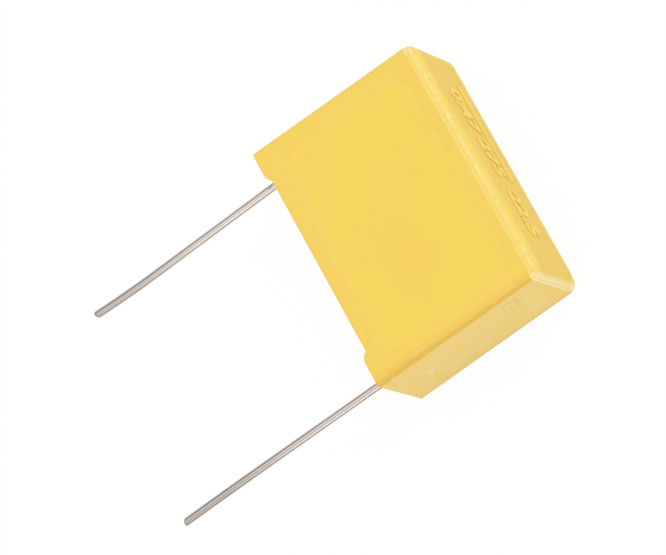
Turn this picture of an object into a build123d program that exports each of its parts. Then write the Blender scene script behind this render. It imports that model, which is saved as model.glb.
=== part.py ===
from build123d import *
import os
from math import pi, radians, tan

# Box film capacitor with two radial leads, sized from the inside out: a flattened
# roll of metallised film, a sprayed metal contact on each end of it, a wire welded
# to each contact, a moulded five-sided case over them, and a resin fill that seals
# the open side. Millimetres and degrees.
#
# Frame: the origin is midway between the leads, on the plane that the feet stand on
# and at mid thickness. +X runs from the left lead to the right one, +Y from the feet
# to the closed top, and +Z out of the front face. The part lies on its back face.

# Leads
PITCH = 22.5  # between the lead axes
LEAD_DIAMETER = 0.8
LEAD_FREE_LEFT = 24.0  # below the seating plane
LEAD_FREE_RIGHT = 25.6
LEAD_TIP_ROUND = 0.12
LEAD_WELD_RUN = 10.5  # up the contact, from the bottom of the roll
LEAD_PRESSED_THICKNESS = 0.64  # where welding presses the wire flat
LEAD_PRESSED_ROUND = 0.2
LEAD_SINK = 0.15  # depth of the weld groove in the contact

# Film roll and its sprayed contacts
ROLL_THICKNESS = 7.8
ROLL_HEIGHT = 15.3
SPRAY_THICKNESS = 0.45
SPRAY_MARGIN = 0.15  # bare film left round the contact
SPRAY_EDGE = 0.2  # bevel where the spray thins out

# Gaps that the resin fills
END_COVER = 0.7  # lead to end wall, at the mouth
SIDE_COVER = 0.3  # roll to side wall, at the mouth
BOTTOM_COVER = 1.0  # roll to the resin's free surface
RIB_SEAT = 0.05  # roll to the ribs that locate it

# Moulded case
END_WALL = 0.9
SIDE_WALL = 0.8
TOP_WALL = 1.0
END_DRAFT = 0.49  # outside of the end walls
SIDE_DRAFT = 0.23  # outside of the front and back walls
CAVITY_END_DRAFT = 0.6
CAVITY_SIDE_DRAFT = 0.4
TOP_ROUND = 1.05
UPRIGHT_ROUND = 0.5
CAVITY_ROUND = 0.4

# Feet: the rim stands proud at both ends, and is cut back between them
FOOT_HEIGHT = 0.6
FOOT_LENGTH = 3.6  # from the outside of the end wall
FOOT_ROUND = 0.45

# Ribs inside the closed end that locate the roll
TOP_RIB_HEIGHT = 0.55
RIB_WIDTH = 0.8
RIB_CREST = 0.3
RIB_SPACING = 13.0
RIB_LEAD_IN = 2.0  # from the bottom of the roll to the foot of a side rib

# Resin
RESIN_DEPTH = 0.5  # free surface above the cut-back rim
MENISCUS = 0.3
RESIN_CREEP = 0.06  # film of resin on the wall and lead at the top of the meniscus

# Worked out from the sizes above
LEAD_RADIUS = LEAD_DIAMETER / 2
LEAD_AREA = pi * LEAD_RADIUS**2
LEAD_PRESSED_WIDTH = (  # the pressed wire keeps its section's area
    LEAD_AREA + (4 - pi) * LEAD_PRESSED_ROUND**2
) / LEAD_PRESSED_THICKNESS
CONTACT_FACE = PITCH / 2 - LEAD_PRESSED_THICKNESS / 2 + LEAD_SINK
ROLL_LENGTH = 2 * (CONTACT_FACE - SPRAY_THICKNESS)
CAVITY_LENGTH = PITCH + LEAD_DIAMETER + 2 * END_COVER
CAVITY_THICKNESS = ROLL_THICKNESS + 2 * SIDE_COVER
CASE_LENGTH = CAVITY_LENGTH + 2 * END_WALL
CASE_THICKNESS = CAVITY_THICKNESS + 2 * SIDE_WALL
RESIN_LEVEL = FOOT_HEIGHT + RESIN_DEPTH
ROLL_BOTTOM = RESIN_LEVEL + BOTTOM_COVER
ROLL_TOP = ROLL_BOTTOM + ROLL_HEIGHT
CAVITY_TOP = ROLL_TOP + RIB_SEAT + TOP_RIB_HEIGHT
CASE_HEIGHT = CAVITY_TOP + TOP_WALL
CLEAR = 1.0  # how far a cutting solid runs past what it cuts


def drafted_block(length, thickness, low, high, end_draft, side_draft):
    """Block from Y = low to Y = high. Its length and thickness are those at Y = 0."""

    def half(size, y, draft):
        return size / 2 - y * tan(radians(draft))

    bottom_x, top_x = half(length, low, end_draft), half(length, high, end_draft)
    bottom_z, top_z = half(thickness, low, side_draft), half(thickness, high, side_draft)
    front = make_face(
        Polyline((-bottom_x, low), (bottom_x, low), (top_x, high), (-top_x, high), close=True)
    )
    side = Plane.YZ * make_face(
        Polyline((low, -bottom_z), (high, -top_z), (high, top_z), (low, bottom_z), close=True)
    )
    return extrude(front, amount=bottom_z, both=True) & extrude(side, amount=bottom_x, both=True)


def round_box(block, upright_radius, top_radius):
    """The block with its four upright edges rounded, then the edge round its top face."""
    height = block.bounding_box().size.Y
    uprights = block.edges().filter_by(lambda edge: edge.bounding_box().size.Y > height / 2)
    block = fillet(uprights, upright_radius)
    top_loop = block.faces().sort_by(Axis.Y)[-1].edges()
    return fillet(top_loop, top_radius)


def make_cavity(low):
    """What the case's walls enclose, down to Y = low, with no ribs in it."""
    block = drafted_block(
        CAVITY_LENGTH, CAVITY_THICKNESS, low, CAVITY_TOP, CAVITY_END_DRAFT, CAVITY_SIDE_DRAFT
    )
    return round_box(block, CAVITY_ROUND, CAVITY_ROUND)


def make_ribs():
    """Two ribs across the closed end, and one up the front and back walls at each of them."""
    rib_top = CAVITY_TOP + TOP_WALL / 2
    roof_rib = Box(
        RIB_WIDTH,
        rib_top - (CAVITY_TOP - TOP_RIB_HEIGHT),
        CAVITY_THICKNESS,
        align=(Align.CENTER, Align.MIN, Align.CENTER),
    )
    roof_rib = Pos(0, CAVITY_TOP - TOP_RIB_HEIGHT, 0) * roof_rib

    crest_z = ROLL_THICKNESS / 2 + RIB_SEAT
    root_z = CAVITY_THICKNESS / 2 + SIDE_WALL / 2
    section = make_face(
        Polyline(
            (-RIB_WIDTH / 2, root_z),
            (-RIB_CREST / 2, crest_z),
            (RIB_CREST / 2, crest_z),
            (RIB_WIDTH / 2, root_z),
            close=True,
        )
    )
    rib_bottom = ROLL_BOTTOM + RIB_LEAD_IN
    # Plane.XZ looks along -Y, so its own Y is the part's Z.
    side_rib = extrude(Plane.XZ * section, amount=-(rib_top - rib_bottom))
    side_rib = Pos(0, rib_bottom, 0) * side_rib
    other_rib = mirror(side_rib, Plane.XY)
    one_set = roof_rib + side_rib + other_rib
    return [Pos(side * RIB_SPACING / 2, 0, 0) * one_set for side in (-1, 1)]


def make_foot_gap():
    """What is cut from the rim between the feet, with the feet's inner ends rounded."""
    half_gap = CASE_LENGTH / 2 - FOOT_LENGTH
    flare = half_gap + FOOT_ROUND
    gap = make_face(
        [
            Line((-half_gap, FOOT_HEIGHT), (half_gap, FOOT_HEIGHT)),
            Line((half_gap, FOOT_HEIGHT), (half_gap, FOOT_ROUND)),
            RadiusArc((half_gap, FOOT_ROUND), (flare, 0), -FOOT_ROUND),
            Line((flare, 0), (flare, -CLEAR)),
            Line((flare, -CLEAR), (-flare, -CLEAR)),
            Line((-flare, -CLEAR), (-flare, 0)),
            RadiusArc((-flare, 0), (-half_gap, FOOT_ROUND), -FOOT_ROUND),
            Line((-half_gap, FOOT_ROUND), (-half_gap, FOOT_HEIGHT)),
        ]
    )
    return extrude(gap, amount=CASE_THICKNESS, both=True)


def make_case():
    """Drafted box, closed at the top, with feet at the open side and ribs in the closed end."""
    outside = drafted_block(CASE_LENGTH, CASE_THICKNESS, 0, CASE_HEIGHT, END_DRAFT, SIDE_DRAFT)
    outside = round_box(outside, UPRIGHT_ROUND, TOP_ROUND)
    case = outside - make_cavity(-CLEAR)
    for rib in make_ribs():
        case += rib
    return case - make_foot_gap()


def make_roll():
    """Flattened roll: straight turns with a half round at the top and bottom."""
    section = Plane.YZ * SlotOverall(ROLL_HEIGHT, ROLL_THICKNESS)
    roll = extrude(section, amount=ROLL_LENGTH / 2, both=True)
    return Pos(0, (ROLL_BOTTOM + ROLL_TOP) / 2, 0) * roll


def make_lead(side, free_length):
    """Wire that is round from its tip to the feet, and pressed flat where it is welded.

    Side is -1 for the left lead and 1 for the right one.
    """
    round_section = Plane.XZ * Circle(LEAD_RADIUS)
    # Plane.XZ looks along -Y, so an offset towards +Y is negative.
    pressed_section = Plane.XZ.offset(-ROLL_BOTTOM) * RectangleRounded(
        LEAD_PRESSED_THICKNESS, LEAD_PRESSED_WIDTH, LEAD_PRESSED_ROUND
    )
    free_run = extrude(round_section, amount=free_length)
    tip = free_run.edges().filter_by(GeomType.CIRCLE).sort_by(Axis.Y)[0]
    free_run = fillet(tip, LEAD_TIP_ROUND)
    run_in = loft([round_section, pressed_section])
    welded_run = extrude(pressed_section, amount=-LEAD_WELD_RUN)
    return Pos(side * PITCH / 2, 0, 0) * (free_run + run_in + welded_run)


def make_spray(side, lead):
    """Sprayed metal on one end of the roll, with the groove that its lead is welded into."""
    section = Plane.YZ * SlotOverall(
        ROLL_HEIGHT - 2 * SPRAY_MARGIN, ROLL_THICKNESS - 2 * SPRAY_MARGIN
    )
    spray = extrude(section, amount=SPRAY_THICKNESS)
    outer_edge = spray.faces().sort_by(Axis.X)[-1].edges()
    spray = chamfer(outer_edge, SPRAY_EDGE)
    spray = Pos(ROLL_LENGTH / 2, (ROLL_BOTTOM + ROLL_TOP) / 2, 0) * spray
    if side < 0:
        spray = mirror(spray, Plane.YZ)
    return spray - lead


def make_air():
    """Space under the resin's free surface: it turns up at the wall and down each lead."""
    air = drafted_block(
        CAVITY_LENGTH - 2 * RESIN_CREEP,
        CAVITY_THICKNESS - 2 * RESIN_CREEP,
        -CLEAR,
        RESIN_LEVEL,
        CAVITY_END_DRAFT,
        CAVITY_SIDE_DRAFT,
    )
    air = round_box(air, CAVITY_ROUND - RESIN_CREEP, MENISCUS)
    inner = LEAD_RADIUS + RESIN_CREEP
    collar_section = make_face(
        Polyline(
            (0, RESIN_LEVEL - MENISCUS),
            (inner, RESIN_LEVEL - MENISCUS),
            (inner + MENISCUS, RESIN_LEVEL),
            (inner + MENISCUS, RESIN_LEVEL + CLEAR),
            (0, RESIN_LEVEL + CLEAR),
            close=True,
        )
    )
    collar = revolve(collar_section, Axis.Y)
    for side in (-1, 1):
        air -= Pos(side * PITCH / 2, 0, 0) * collar
    return air


def make_resin(buried):
    """Resin from the meniscus up to the closed end, round everything that is buried in it."""
    resin = make_cavity(RESIN_LEVEL - MENISCUS) - make_air()
    for rib in make_ribs():
        resin -= rib
    for piece in buried:
        resin -= piece
    return resin


lead_left = make_lead(-1, LEAD_FREE_LEFT)
lead_right = make_lead(1, LEAD_FREE_RIGHT)
end_spray_left = make_spray(-1, lead_left)
end_spray_right = make_spray(1, lead_right)
film_roll = make_roll()

nodes = {
    "case": make_case(),
    "potting_resin": make_resin(
        [film_roll, end_spray_left, end_spray_right, lead_left, lead_right]
    ),
    "film_roll": film_roll,
    "end_spray_left": end_spray_left,
    "end_spray_right": end_spray_right,
    "lead_left": lead_left,
    "lead_right": lead_right,
}

os.makedirs("parts", exist_ok=True)
for name, solid in nodes.items():
    solid.label = name
    export_step(solid, f"parts/{name}.step")
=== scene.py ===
"""Box film capacitor with two radial leads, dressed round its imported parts.

The part lies on its back face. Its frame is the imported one: +X runs from the left
lead to the right one, +Y from the feet to the closed top and +Z out of the front
face. Everything is in metres, apart from the materials' patterns.
"""

from contextlib import contextmanager
from math import copysign, cos, hypot, pi, radians, sin, tan

import bmesh
import bpy
from bpy.props import (
    FloatProperty,
    FloatVectorProperty,
    PointerProperty,
    StringProperty,
)
from mathutils import Matrix, Vector


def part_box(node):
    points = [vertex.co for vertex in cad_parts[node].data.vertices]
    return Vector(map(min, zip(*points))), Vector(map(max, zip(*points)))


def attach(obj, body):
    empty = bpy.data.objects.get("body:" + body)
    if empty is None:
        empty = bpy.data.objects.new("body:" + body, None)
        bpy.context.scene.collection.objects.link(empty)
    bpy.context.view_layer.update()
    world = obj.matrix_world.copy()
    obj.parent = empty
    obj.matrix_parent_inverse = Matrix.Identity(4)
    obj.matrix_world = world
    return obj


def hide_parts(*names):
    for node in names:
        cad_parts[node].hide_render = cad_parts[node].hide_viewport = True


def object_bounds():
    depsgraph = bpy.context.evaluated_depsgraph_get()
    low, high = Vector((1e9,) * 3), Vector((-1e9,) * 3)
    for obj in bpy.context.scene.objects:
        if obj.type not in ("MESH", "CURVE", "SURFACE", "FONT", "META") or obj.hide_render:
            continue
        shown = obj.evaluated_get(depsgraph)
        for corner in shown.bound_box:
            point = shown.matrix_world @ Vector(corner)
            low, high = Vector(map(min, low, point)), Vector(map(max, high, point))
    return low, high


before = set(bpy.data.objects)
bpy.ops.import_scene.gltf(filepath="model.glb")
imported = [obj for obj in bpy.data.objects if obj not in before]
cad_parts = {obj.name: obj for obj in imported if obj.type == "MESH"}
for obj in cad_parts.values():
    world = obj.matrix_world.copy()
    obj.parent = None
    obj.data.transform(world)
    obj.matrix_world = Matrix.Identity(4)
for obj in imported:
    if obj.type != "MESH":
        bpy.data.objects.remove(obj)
CAD_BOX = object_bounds()

bl_info = {
    "name": "Box film capacitor",
    "version": (1, 0, 0),
    "blender": (4, 5, 0),
    "location": "3D View > Sidebar > Capacitor",
    "description": "Builds the case, resin, leads and studio of a box film capacitor",
    "category": "Object",
}

MM = 0.001
_, (HALF_LENGTH, HEIGHT, HALF_DEPTH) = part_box("case")
ROLL_LOW, ROLL_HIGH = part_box("film_roll")
LEAD_BOXES = {"left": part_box("lead_left"), "right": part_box("lead_right")}
FRONT_BAND = 0.5 * MM  # how deep behind the front face still counts as the front


# --- settings


def length(name, description, value):
    """A length setting, given in millimetres and kept in metres."""
    return FloatProperty(
        name=name,
        description=description,
        default=value * MM,
        min=-1.0,
        max=1.0,
        precision=5,
        unit="LENGTH",
    )


def angle(name, description, value):
    """An angle setting, given in degrees."""
    return FloatProperty(
        name=name, description=description, default=radians(value), subtype="ANGLE"
    )


def share(name, description, value, top=1.0):
    """A plain number setting."""
    return FloatProperty(
        name=name, description=description, default=value, min=0.0, max=top
    )


def colour(name, description, *value):
    """A linear colour setting."""
    return FloatVectorProperty(
        name=name,
        description=description,
        default=value,
        size=3,
        min=0.0,
        max=1.0,
        subtype="COLOR",
    )


class CapacitorCaseSettings(bpy.types.PropertyGroup):
    """Sizes and colours of the moulded case."""

    end_draft: angle("End draft", "Taper of the end walls' outsides", 0.49)
    side_draft: angle("Side draft", "Taper of the front and back outsides", 0.23)
    upright_round: length("Upright round", "Radius of the upright edges", 0.5)
    top_round: length("Top round", "Reach of the long rounds over the top", 1.4)
    end_round_left: length("Left round", "Reach of the left round over the top", 1.2)
    end_round_right: length("Right round", "Reach of the right round", 1.9)
    top_drop: length("Top drop", "How far the rounds run down the walls", 0.68)
    ledge_drop: length("Ledge drop", "From the top down to the parting ledge", 0.86)
    ledge_rise: length("Ledge rise", "Height of the parting ledge's slope", 0.14)
    ledge_step: length("Ledge step", "How far the top stands in above it", 0.07)
    end_wall: length("End wall", "Thickness of the end walls at the mouth", 0.9)
    side_wall: length("Side wall", "Thickness of the front and back walls", 0.8)
    top_wall: length("Top wall", "Thickness of the closed top", 1.0)
    cavity_end_draft: angle("Cavity end draft", "Taper of the cavity's ends", 0.6)
    cavity_side_draft: angle("Cavity side draft", "Taper of its sides", 0.4)
    cavity_round: length("Cavity round", "Radius of the cavity's edges", 0.4)
    foot_height: length("Foot height", "How far the feet stand proud", 0.6)
    foot_left: length("Left foot", "Its length from the end wall", 3.4)
    foot_right: length("Right foot", "Its length from the end wall", 3.6)
    foot_slope: length("Foot slope", "How far a foot's inner end leans", 0.45)
    left_foot_round: length("Left foot round", "Reach of its inner round", 0.34)
    right_foot_round: length("Right foot round", "Reach of its inner round", 0.44)
    rim_tilt: length("Rim tilt", "How much lower the rim is at the left foot", 0.12)
    rim_round: length("Rim round", "Round of the mouth's outer edge", 0.08)
    warp: length("Warp", "Spread of the right foot's back corner", 0.09)
    rib_width: length("Rib width", "Width of the ribs that locate the roll", 0.8)
    rib_spacing: length("Rib spacing", "Between the two sets of ribs", 13.0)
    sink_depth: length("Sink depth", "How far the front wall has sunk", 0.09)
    sink_shoulder: length("Sink shoulder", "Width of the slope round the sink", 1.1)
    sink_corner: length("Sink corner", "Radius of the sink's corners", 2.4)
    sink_left: length("Sink left", "Left edge of the sink", -10.8)
    sink_right: length("Sink right", "Right edge of the sink", 11.1)
    sink_low: length("Sink bottom", "Lower edge of the sink", 2.6)
    sink_high: length("Sink top", "Upper edge of the sink", 16.6)
    plastic: colour("Plastic", "Moulded case", 0.872, 0.604, 0.095)
    # Sunk plastic is painted lighter, and rim plastic is a painted highlight round the
    # sink.
    plastic_sunk_shading: colour("Sunk plastic", "Sunk front", 0.88, 0.622, 0.085)
    plastic_rim_highlight: colour("Rim plastic", "Round the sink", 0.90, 0.63, 0.105)
    # Edge plastic is a deeper tone for random patches, and painted shade on the uprights
    # and darker places of the front.
    plastic_deep_and_shade: colour("Edge plastic", "Uprights", 0.80, 0.497, 0.061)
    # Band plastic is a painted highlight on the long rounds and the figures' tops; ledge
    # plastic is painted shade.
    plastic_highlight: colour("Band plastic", "Long top rounds", 0.925, 0.71, 0.127)
    plastic_ledge_shade: colour("Ledge plastic", "Beside the ledge", 0.875, 0.652, 0.142)
    # Rubbed plastic is the pale colour of painted highlights on the top edges, partly rub.
    rubbed_highlight: colour("Rubbed plastic", "Rubbed edges", 0.94, 0.785, 0.37)
    # Dusty plastic is the pale colour of fine dust and of painted sheen and highlights.
    dust_and_sheen: colour("Dusty plastic", "Plastic under fine dust", 0.92, 0.79, 0.55)
    dirt: colour("Dirt", "Specks and scuffs", 0.2, 0.11, 0.03)
    roughness: share("Roughness", "Roughness of the moulded skin", 0.56)
    polished: share("Polished", "Roughness of rubbed edges", 0.33)


class CapacitorFigureSettings(bpy.types.PropertyGroup):
    """Raised figures on the closed top."""

    first_text: StringProperty(
        name="First figures", description="Plain raised numbers", default="0.47 275"
    )
    second_text: StringProperty(
        name="Second figures", description="Plain raised numbers", default="22.5"
    )
    height: length("Figure height", "Height of the figures", 2.3)
    relief: length("Relief", "How far the figures stand out of the top", 0.14)
    first_left: length("First left", "Left end of the first figures", -8.6)
    first_right: length("First right", "Right end of the first figures", 1.6)
    second_left: length("Second left", "Left end of the second figures", 3.2)
    second_right: length("Second right", "Right end of the second figures", 8.3)
    baseline: length("Baseline", "Where they stand, from mid thickness", 1.55)
    rule_back: length("Rule place", "Middle of the raised rule behind them", -1.6)
    rule_width: length("Rule width", "Width of the raised rule", 0.5)
    rule_left: length("Rule left", "Left end of the raised rule", -9.3)
    rule_right: length("Rule right", "Right end of the raised rule", 1.9)


class CapacitorResinSettings(bpy.types.PropertyGroup):
    """Sizes and colours of the cast resin."""

    level: length("Resin level", "Free surface above the seating plane", 1.1)
    meniscus: length("Meniscus", "How far it climbs the walls and leads", 0.3)
    creep: length("Creep", "Thin edge at the top of the meniscus", 0.06)
    resin: colour("Resin", "Cast resin", 0.78, 0.52, 0.14)
    resin_deep: colour("Deep resin", "Where the resin is thick", 0.70, 0.46, 0.12)


class CapacitorLeadSettings(bpy.types.PropertyGroup):
    """Sizes and colours of the leads."""

    diameter: length("Lead diameter", "Diameter of the wire", 0.8)
    left_splay: angle("Left splay", "Lean away from square", 0.85)
    left_hook: length("Left hook", "How far its tip bends back", -0.256)
    left_shift: length("Left shift", "Where it leaves the resin", -0.03)
    left_crop: angle("Left crop", "Slant of its cut tip", -7)
    left_tip: length("Left tip", "Round of its tip", 0.34)
    right_splay: angle("Right splay", "Lean away from square", 0.49)
    right_hook: length("Right hook", "How far its tip bends out", 0.07)
    right_shift: length("Right shift", "Where it leaves the resin", 0.16)
    right_crop: angle("Right crop", "Slant of its cut tip", 17)
    right_tip: length("Right tip", "Round of its tip", 0.24)
    hook_start: length("Hook start", "Free length before a tip bends", 16.0)
    pressed_start: length("Pressed start", "Where the weld's flat begins", 2.1)
    pressed_share: share("Pressed share", "Thickness left by the weld", 0.8)
    tin: colour("Tin", "Clean tin", 0.66, 0.59, 0.52)
    # Bright tin is the colour of painted highlights.
    tin_highlight: colour("Bright tin", "Burnished lines", 0.92, 0.85, 0.78)
    tin_dull: colour("Dull tin", "Tin in the drawn streaks", 0.44, 0.39, 0.35)
    # Dark tin is the colour of handling marks and of painted dark reflections.
    tin_marks_and_shade: colour("Dark tin", "Handled and scraped tin", 0.15, 0.133, 0.132)


class CapacitorStageSettings(bpy.types.PropertyGroup):
    """Camera, floor and lamps."""

    azimuth: angle("Camera azimuth", "0 looks along +Y, 90 along -X", 131.9255)
    elevation: angle("Camera elevation", "Above the horizon", 62.6119)
    roll: angle("Camera roll", "Turn about the line of sight", -73.777)
    distance: length("Camera distance", "From the point looked at", 354.294)
    lens: FloatProperty(
        name="Lens",
        description="Focal length",
        default=202.055,
        min=1.0,
        max=500.0,
        unit="CAMERA",
    )
    aim: FloatVectorProperty(
        name="Aim",
        description="Point that the camera looks at",
        default=(-0.062 * MM, -0.4135 * MM, 0.167 * MM),
        size=3,
        precision=6,
        subtype="TRANSLATION",
    )
    floor_radius: length("Floor radius", "Radius of the floor", 900.0)
    floor: colour("Floor", "Floor", 0.93, 0.93, 0.93)
    sky: share("Sky", "Light from all round", 0.64, 10.0)
    key: share("Key", "Overhead lamp", 0.625, 100.0)
    rim: share("Rim", "Lamp behind the closed top", 3.3, 100.0)
    fill: share("Fill", "Lamp beside the right end", 0.86, 100.0)
    glint: share("Glint", "Low lamp that the leads show", 0.3, 100.0)


# --- mesh helpers

MERGE = 0.002 * MM  # points nearer than this are one
ALONG, FACING = 0.9, 0.98  # when an edge follows an axis, and a face looks along it


def select_only(piece):
    """Make the piece the only selected object, and the active one."""
    bpy.ops.object.select_all(action="DESELECT")
    piece.select_set(True)
    bpy.context.view_layer.objects.active = piece


@contextmanager
def editing(piece):
    """Edit mode on one piece."""
    select_only(piece)
    bpy.ops.object.mode_set(mode="EDIT")
    yield
    bpy.ops.object.mode_set(mode="OBJECT")


def pick(piece, kind, test):
    """In edit mode, select only the vertices, edges or faces that pass the test."""
    kinds = ("VERT", "EDGE", "FACE")
    bpy.context.tool_settings.mesh_select_mode = [kind == k for k in kinds]
    bpy.ops.mesh.select_all(action="DESELECT")
    mesh = bmesh.from_edit_mesh(piece.data)
    for item in {"VERT": mesh.verts, "EDGE": mesh.edges, "FACE": mesh.faces}[kind]:
        if test(item):
            item.select_set(True)
    mesh.select_flush_mode()
    bmesh.update_edit_mesh(piece.data)


def middle(edge):
    """Midpoint of an edge."""
    return (edge.verts[0].co + edge.verts[1].co) / 2


def along(edge):
    """Direction of an edge."""
    return (edge.verts[1].co - edge.verts[0].co).normalized()


def move(x, y, z):
    """Move what is picked by X, Y and Z."""
    bpy.ops.transform.translate(value=(x, y, z))


def resize(value, centre):
    """Resize what is picked about a centre."""
    bpy.ops.transform.resize(value=value, center_override=centre)


def round_off(reach, segments):
    """Bevel what is picked."""
    bpy.ops.mesh.bevel(offset=reach, segments=segments, affect="EDGES")


def slice_at(y):
    """Cut a line of edges through all selected faces at a height."""
    bpy.ops.mesh.bisect(plane_co=(0, y, 0), plane_no=(0, 1, 0))


def settle():
    """Take the new object's place, turn and size into its mesh."""
    bpy.ops.object.transform_apply(location=True, rotation=True, scale=True)


def add_primitive(name, operator, **settings):
    """Add a primitive, with its place and size in its mesh."""
    bpy.ops.object.select_all(action="DESELECT")
    operator(**settings)
    settle()
    piece = bpy.context.object
    piece.name = piece.data.name = name
    return piece


def add_block(name, low, high):
    """A box between two corners."""
    low, high = Vector(low), Vector(high)
    cube = bpy.ops.mesh.primitive_cube_add
    return add_primitive(
        name, cube, size=1, location=(low + high) / 2, scale=high - low
    )


def apply_modifier(piece, kind, **settings):
    """Add a modifier, set it and apply it."""
    select_only(piece)
    modifier = piece.modifiers.new(kind.title(), kind)
    for key, value in settings.items():
        setattr(modifier, key, value)
    bpy.ops.object.modifier_apply(modifier=modifier.name)


def drafted_block(name, halves, low, high, drafts, rounds, segments):
    """Tapered block with round uprights and round top edges.

    Halves are half its length and thickness at Y = 0. Drafts are those of its ends
    and sides, rounds those of its uprights and of its long, left and right top edges.
    """

    def half_sizes(y):
        return [half - y * tan(draft) for half, draft in zip(halves, drafts)]

    (x, z), (top_x, top_z) = half_sizes(low), half_sizes(high)
    block = add_block(name, (-x, low, -z), (x, high, z))
    with editing(block):
        pick(block, "VERT", lambda v: v.co.y > (low + high) / 2)
        resize((top_x / x, 1, top_z / z), (0, high, 0))
        mesh = bmesh.from_edit_mesh(block.data)
        weights = mesh.edges.layers.float.new("bevel_weight_edge")
        upright, long_top, left_top, right_top = (r / max(rounds) for r in rounds)
        for edge in mesh.edges:
            place = middle(edge)
            if abs(along(edge).y) > ALONG:
                edge[weights] = upright
            elif place.y > (low + high) / 2 and abs(along(edge).x) > ALONG:
                edge[weights] = long_top
            elif place.y > (low + high) / 2:
                edge[weights] = left_top if place.x < 0 else right_top
        bmesh.update_edit_mesh(block.data)
    apply_modifier(
        block,
        "BEVEL",
        width=max(rounds),
        segments=segments,
        limit_method="WEIGHT",
        use_clamp_overlap=False,
    )
    return block


def combine(piece, tool, operation):
    """Cut the tool from the piece, or add it, and remove the tool."""
    apply_modifier(piece, "BOOLEAN", operation=operation, solver="EXACT", object=tool)
    bpy.data.objects.remove(tool)


def smooth_finish(piece, limit):
    """Clean the mesh, then shade its rounds smooth, up to a limit in degrees."""
    with editing(piece):
        bpy.ops.mesh.select_all(action="SELECT")
        bpy.ops.mesh.remove_doubles(threshold=MERGE)
        bpy.ops.mesh.normals_make_consistent(inside=False)
    bpy.ops.object.shade_smooth_by_angle(angle=radians(limit))
    apply_modifier(piece, "WEIGHTED_NORMAL", keep_sharp=True, weight=50)


def finish_piece(piece, material, slot, *replaced):
    """Give a finished piece its material and body, and hide the nodes it stands for; its
    slot is not used.
    """
    piece.data.materials.clear()
    piece.data.materials.append(material)
    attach(piece, "root")
    if replaced:
        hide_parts(*replaced)


# --- node helpers: places and sizes in the materials' patterns are in millimetres


class Value:
    """What a node gives. Sums written with it add Math or Vector Math nodes."""

    def __init__(self, socket):
        self.socket = socket

    def __add__(self, other):
        return calc("ADD", self, other)

    def __sub__(self, other):
        return calc("SUBTRACT", self, other)

    def __rsub__(self, other):
        return calc("SUBTRACT", other, self)

    def __mul__(self, other):
        return calc("MULTIPLY", self, other)

    def __truediv__(self, other):
        return calc("DIVIDE", self, other)

    def __rtruediv__(self, other):
        return calc("DIVIDE", other, self)

    def __abs__(self):
        return calc("ABSOLUTE", self)


def feed(socket, source):
    """Link a socket to a value, or set it."""
    if isinstance(source, Value):
        socket.id_data.links.new(source.socket, socket)
    elif socket.type == "RGBA" and len(source) == 3:
        socket.default_value = (*source, 1)
    else:
        socket.default_value = source


def add_node(kind, inputs, **settings):
    """Add a node beside a value that feeds it. Its inputs go by name or number."""
    tree = next(v.socket.id_data for v in inputs.values() if isinstance(v, Value))
    node = tree.nodes.new(kind)
    for key, value in settings.items():
        setattr(node, key, value)
    for key, source in inputs.items():
        feed(node.inputs[key], source)
    return node


def results(node):
    """A node's outputs by name."""
    return {socket.name: Value(socket) for socket in node.outputs}


def calc(operation, *values, **settings):
    """Result of a Math node, or of a Vector Math node where a value is a vector."""
    inputs = dict(enumerate(values))
    number = all(
        v.socket.type == "VALUE" if isinstance(v, Value) else not isinstance(v, tuple)
        for v in values
    )
    if not number:
        found = results(add_node("ShaderNodeVectorMath", inputs, operation=operation))
        gives_number = operation in ("DOT_PRODUCT", "LENGTH", "DISTANCE")
        return found["Value" if gives_number else "Vector"]
    node = add_node("ShaderNodeMath", inputs, operation=operation, **settings)
    return Value(node.outputs[0])


def most(*values):
    """The greater of two values."""
    return calc("MAXIMUM", *values)


def split(vector):
    """X, Y and Z of a vector."""
    return results(add_node("ShaderNodeSeparateXYZ", {0: vector})).values()


def join(x, y, z):
    """Vector of X, Y and Z."""
    return Value(add_node("ShaderNodeCombineXYZ", {0: x, 1: y, 2: z}).outputs[0])


def ramp(value, low, high, to_low=0.0, to_high=1.0):
    """Value moved smoothly from one range to another."""
    inputs = dict(enumerate((value, low, high, to_low, to_high)))
    node = add_node("ShaderNodeMapRange", inputs, interpolation_type="SMOOTHSTEP")
    return Value(node.outputs["Result"])


def fall(value, low, high):
    """1 below the range and 0 above it."""
    return ramp(value, low, high, 1.0, 0.0)


def between(value, low, high, soft):
    """Soft mask of a value that lies between two ends."""
    return ramp(value, low - soft, low + soft) * fall(value, high - soft, high + soft)


def blend(factor, first, second):
    """Mix of two colours."""
    inputs = {0: factor, 6: first, 7: second}
    return Value(add_node("ShaderNodeMix", inputs, data_type="RGBA").outputs[2])


def noise(place, scale, detail=2.0, roughness=0.5, output="Fac"):
    """Value or colour of a Noise texture."""
    inputs = {"Vector": place, "Scale": scale, "Detail": detail, "Roughness": roughness}
    return Value(add_node("ShaderNodeTexNoise", inputs).outputs[output])


def build_skin(given):
    """Moulded or cast skin: slow changes of tone, and a fine grain."""
    place, patch_scale = given["Vector"], 1.0 / given["Patch Size"]
    patches = noise(place, patch_scale, 2.0, 0.45)
    grain = noise(place, 1.0 / given["Grain Size"], 3.0, 0.6)
    ripple = noise(place, patch_scale * 6.0, 1.0)
    return {
        "Patches": ramp(patches, 0.35, 0.65),
        "Grain": grain,
        "Relief": ripple * 0.6 + grain * 0.4,
    }


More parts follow.
